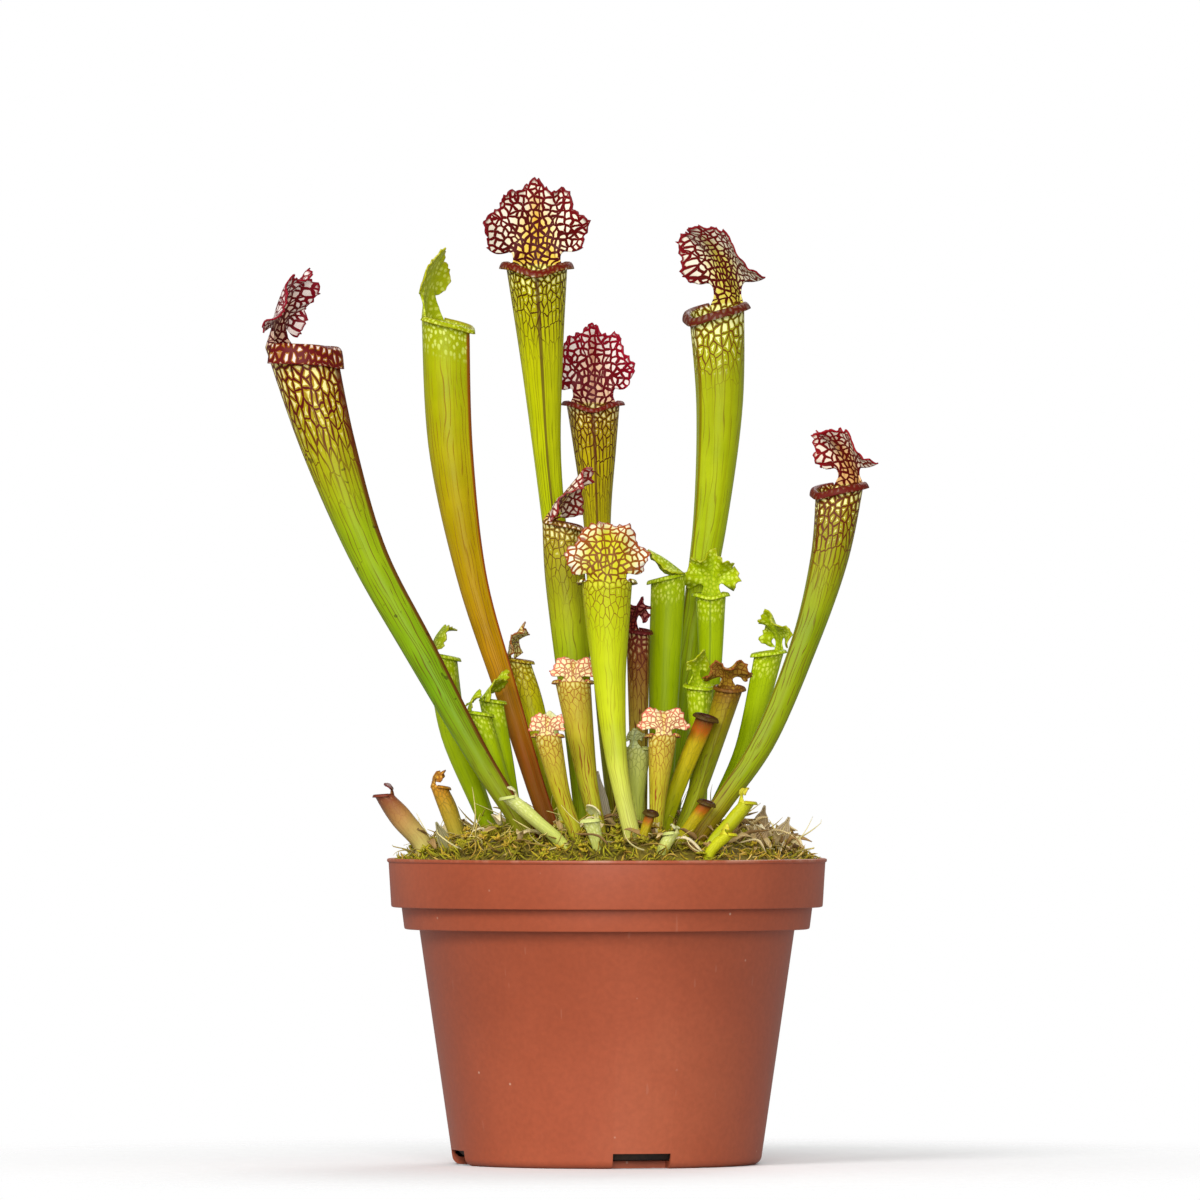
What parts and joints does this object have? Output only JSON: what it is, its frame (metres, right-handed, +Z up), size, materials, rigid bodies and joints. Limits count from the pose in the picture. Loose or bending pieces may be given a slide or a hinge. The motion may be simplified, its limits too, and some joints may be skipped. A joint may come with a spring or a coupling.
{
  "type": "potted pitcher plant",
  "caption": "Trumpet pitcher plant with tall netted pitchers under ruffled hoods and small young ones, rooted in peat and moss in a round plastic nursery pot.",
  "frame": {"origin": "centre of the pot's flat base, where it rests", "axes": "+Z up, front of the plant towards -Y, +X to the viewer's right from the front"},
  "size_m": [0.1661, 0.12, 0.2692],
  "materials": {
    "pot_plastic": "satin terracotta-coloured moulded plastic",
    "peat": "damp dark peat",
    "moss": "living bog moss with dry strands",
    "rhizome": "rough brown crown",
    "leaf_netted": "green leaf with dark red net and pale windows",
    "leaf_yellow": "yellow-green leaf turning orange below",
    "leaf_green": "bright green leaf with pale spots",
    "leaf_pale": "pale green young leaf",
    "leaf_pink": "pale leaf with pink veins",
    "leaf_red": "dark red leaf",
    "leaf_brown": "withered brown leaf",
    "dry_leaf": "dry papery leaf"
  },
  "bodies": {
    "root": {"pot": "pot_plastic", "soil": "peat", "moss": "moss", "rhizome": "rhizome", "pitcher_far_left": "leaf_netted", "pitcher_left_yellow": "leaf_yellow", "pitcher_tall_centre": "leaf_netted", "pitcher_centre_back": "leaf_netted", "pitcher_centre_mid": "leaf_netted", "pitcher_front_centre": "leaf_netted", "pitcher_tall_right": "leaf_netted", "pitcher_far_right": "leaf_netted", "pitcher_green_mid": "leaf_green", "pitcher_green_frilled": "leaf_green", "pitcher_green_right": "leaf_green", "pitcher_withered": "leaf_brown", "pitcher_green_cup": "leaf_green", "pitcher_dark_red": "leaf_red", "pitcher_pink_back_view": "leaf_pink", "pitcher_grey_speckled": "leaf_pale", "pitcher_pink_striped": "leaf_pink", "pitcher_small_pink": "leaf_pink", "pitcher_green_behind_left": "leaf_green", "pitcher_green_left_low": "leaf_green", "pitcher_green_left_mid": "leaf_green", "pitcher_netted_left": "leaf_netted", "pitcher_yellow_hook": "leaf_yellow", "pitcher_yellow_low": "leaf_yellow", "tiny_pale_left": "leaf_pale", "tiny_pale_centre": "leaf_pale", "tiny_pale_right": "leaf_pale", "tiny_pale_behind": "leaf_pale", "tube_cut_tall": "leaf_green", "tube_cut_short": "leaf_brown", "tube_cut_tiny": "leaf_brown", "bud_far_left": "leaf_brown", "curled_left": "leaf_brown", "bract_left": "dry_leaf", "bract_centre": "dry_leaf", "dry_blade_right_tall": "dry_leaf", "dry_blade_right_mid": "dry_leaf", "dry_blade_right_low": "dry_leaf", "dry_spike_left": "leaf_pale"}
  },
  "joints": []
}
